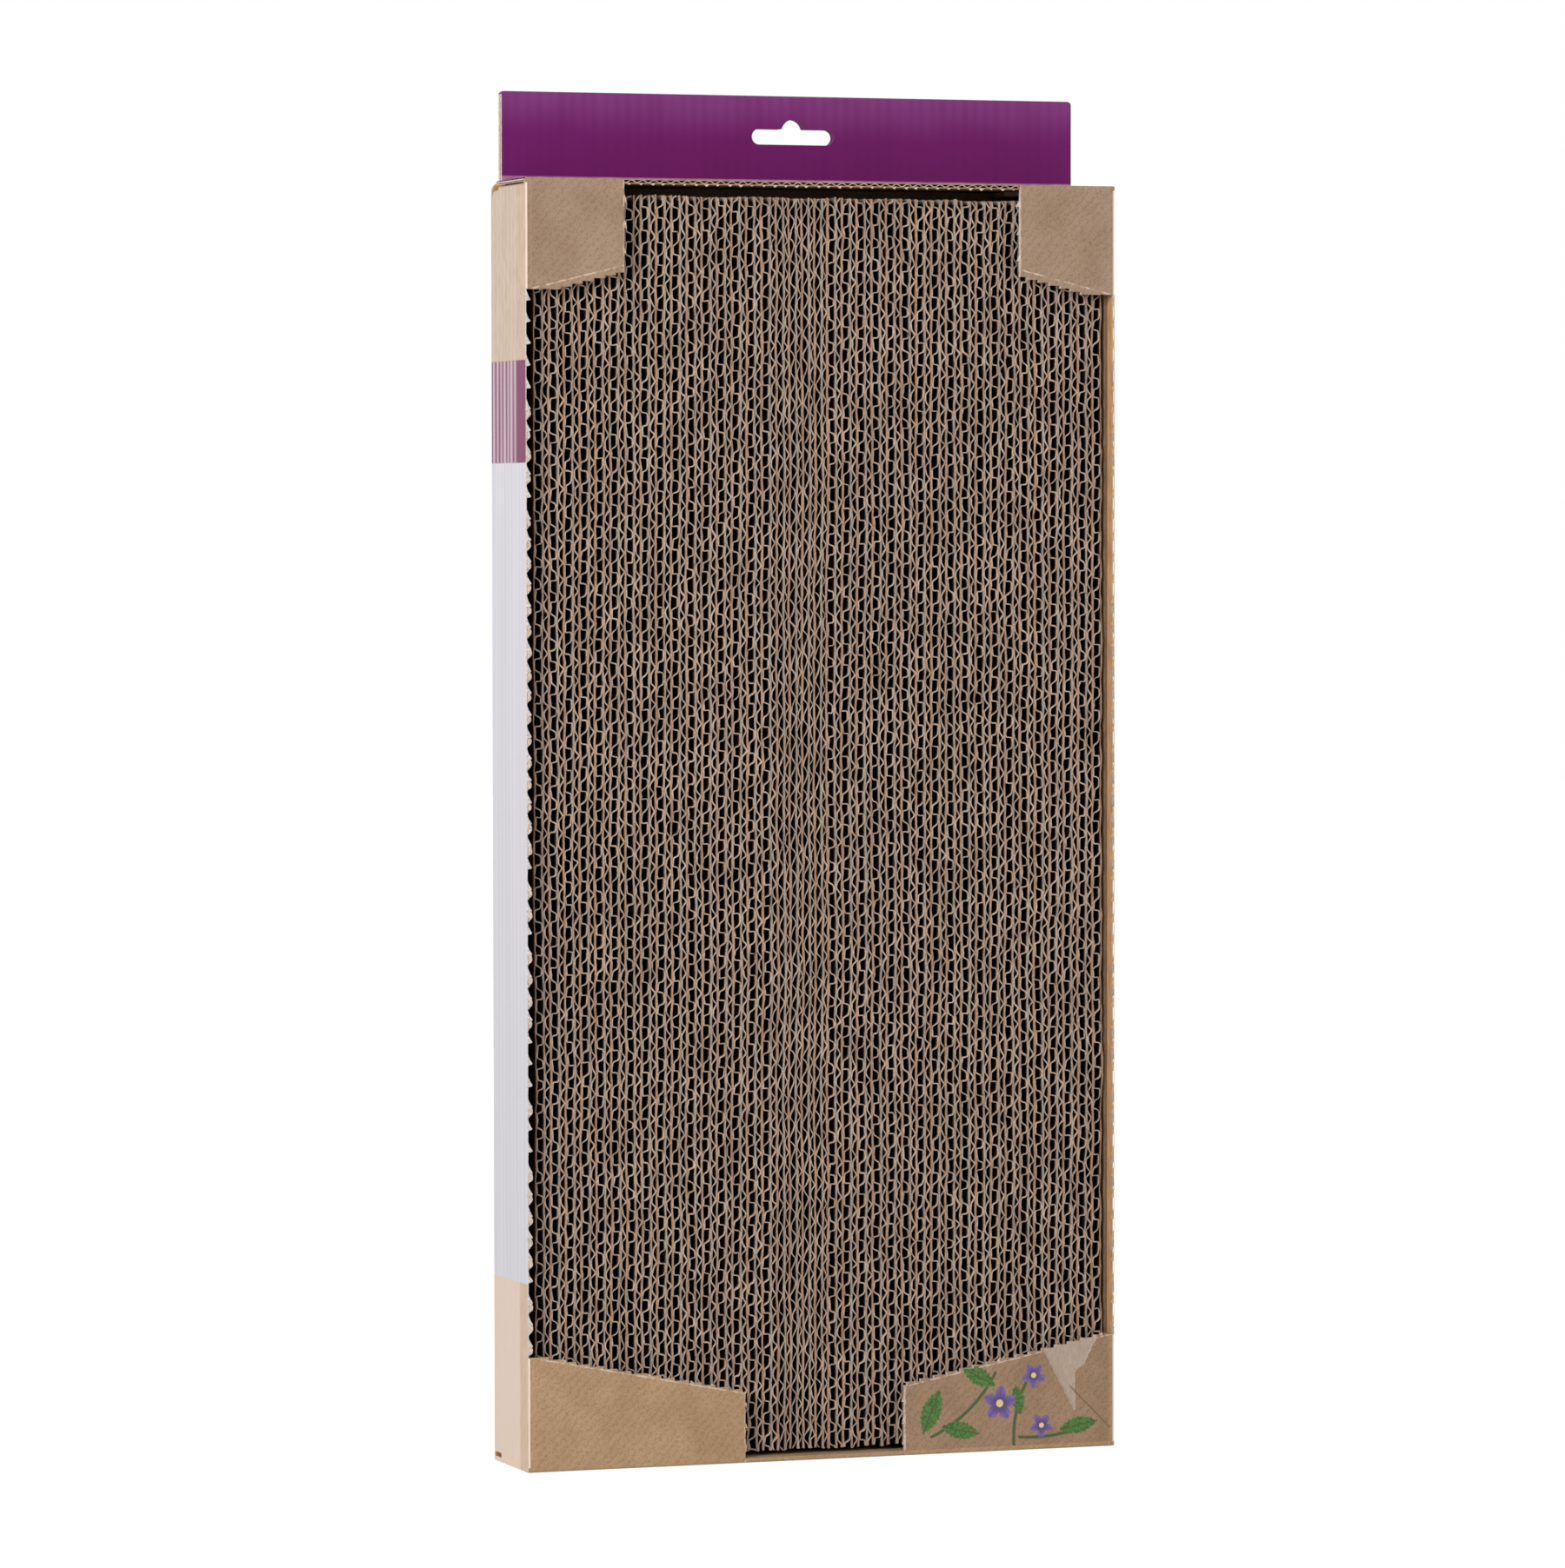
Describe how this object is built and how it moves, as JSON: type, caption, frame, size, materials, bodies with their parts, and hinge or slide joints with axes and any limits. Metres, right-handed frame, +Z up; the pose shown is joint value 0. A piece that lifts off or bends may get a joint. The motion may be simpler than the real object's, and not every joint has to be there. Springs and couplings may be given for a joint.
{
  "type": "cardboard cat scratcher",
  "caption": "Upright pad of corrugated cardboard strips with their flute ends forward, in a flat retail carton torn open at the front, with a folded header and a hang slot.",
  "frame": {"origin": "middle of the carton's base", "axes": "+X to the right as seen from the front, +Y from the front to the back, +Z up towards the header"},
  "size_m": [0.22, 0.04, 0.482],
  "materials": {
    "kraft_board": "matte",
    "printed_side_board": "satin",
    "printed_header_board": "satin",
    "pad_board": "matte"
  },
  "bodies": {
    "carton": {"back_panel": "kraft_board", "left_side_panel": "printed_side_board", "right_side_panel": "printed_side_board", "seam_flap": "kraft_board", "top_left_tab": "kraft_board", "top_right_tab": "kraft_board", "bottom_left_tab": "kraft_board", "bottom_right_tab": "kraft_board", "left_torn_edge": "printed_side_board", "right_torn_edge": "printed_side_board", "bottom_lid": "kraft_board", "bottom_tuck_flap": "kraft_board", "bottom_left_dust_flap": "kraft_board", "bottom_right_dust_flap": "kraft_board", "header_rear_layer": "kraft_board", "header_front_layer": "printed_header_board"},
    "lid": {"top_lid": "kraft_board"},
    "tuck": {"top_tuck_flap": "kraft_board"},
    "left_dust": {"top_left_dust_flap": "kraft_board"},
    "right_dust": {"top_right_dust_flap": "kraft_board"},
    "pad": {"pad_strip_01": "pad_board", "pad_strip_02": "pad_board", "pad_strip_03": "pad_board", "pad_strip_04": "pad_board", "pad_strip_05": "pad_board", "pad_strip_06": "pad_board", "pad_strip_07": "pad_board", "pad_strip_08": "pad_board", "pad_strip_09": "pad_board", "pad_strip_10": "pad_board", "pad_strip_11": "pad_board", "pad_strip_12": "pad_board", "pad_strip_13": "pad_board", "pad_strip_14": "pad_board", "pad_strip_15": "pad_board", "pad_strip_16": "pad_board", "pad_strip_17": "pad_board", "pad_strip_18": "pad_board", "pad_strip_19": "pad_board", "pad_strip_20": "pad_board", "pad_strip_21": "pad_board", "pad_strip_22": "pad_board", "pad_strip_23": "pad_board", "pad_strip_24": "pad_board", "pad_strip_25": "pad_board", "pad_strip_26": "pad_board", "pad_strip_27": "pad_board", "pad_strip_28": "pad_board", "pad_strip_29": "pad_board", "pad_strip_30": "pad_board", "pad_strip_31": "pad_board", "pad_strip_32": "pad_board", "pad_strip_33": "pad_board", "pad_strip_34": "pad_board", "pad_strip_35": "pad_board", "pad_strip_36": "pad_board", "pad_strip_37": "pad_board", "pad_strip_38": "pad_board", "pad_strip_39": "pad_board"}
  },
  "joints": [
    {"name": "lid_fold", "type": "hinge", "parent": "carton", "child": "lid", "pos_m": [0, -0.02, 0.4484], "axis": [1, 0, 0], "range_deg": [0, 180]},
    {"name": "tuck_fold", "type": "hinge", "parent": "lid", "child": "tuck", "pos_m": [0, 0.01327, 0.4484], "axis": [1, 0, 0], "range_deg": [0, 90]},
    {"name": "left_dust_fold", "type": "hinge", "parent": "carton", "child": "left_dust", "pos_m": [-0.11, 0, 0.4468], "axis": [0, -1, 0], "range_deg": [0, 90]},
    {"name": "right_dust_fold", "type": "hinge", "parent": "carton", "child": "right_dust", "pos_m": [0.11, 0, 0.4468], "axis": [0, 1, 0], "range_deg": [0, 90]},
    {"name": "pad_slide", "type": "slide", "parent": "carton", "child": "pad", "axis": [0, 0, 1], "range_m": [0, 0.0015]}
  ],
  "couplings": [
    {"joint": "tuck_fold", "follows": "lid_fold", "ratio": 0.5},
    {"joint": "left_dust_fold", "follows": "lid_fold", "ratio": 0.5},
    {"joint": "right_dust_fold", "follows": "lid_fold", "ratio": 0.5}
  ]
}
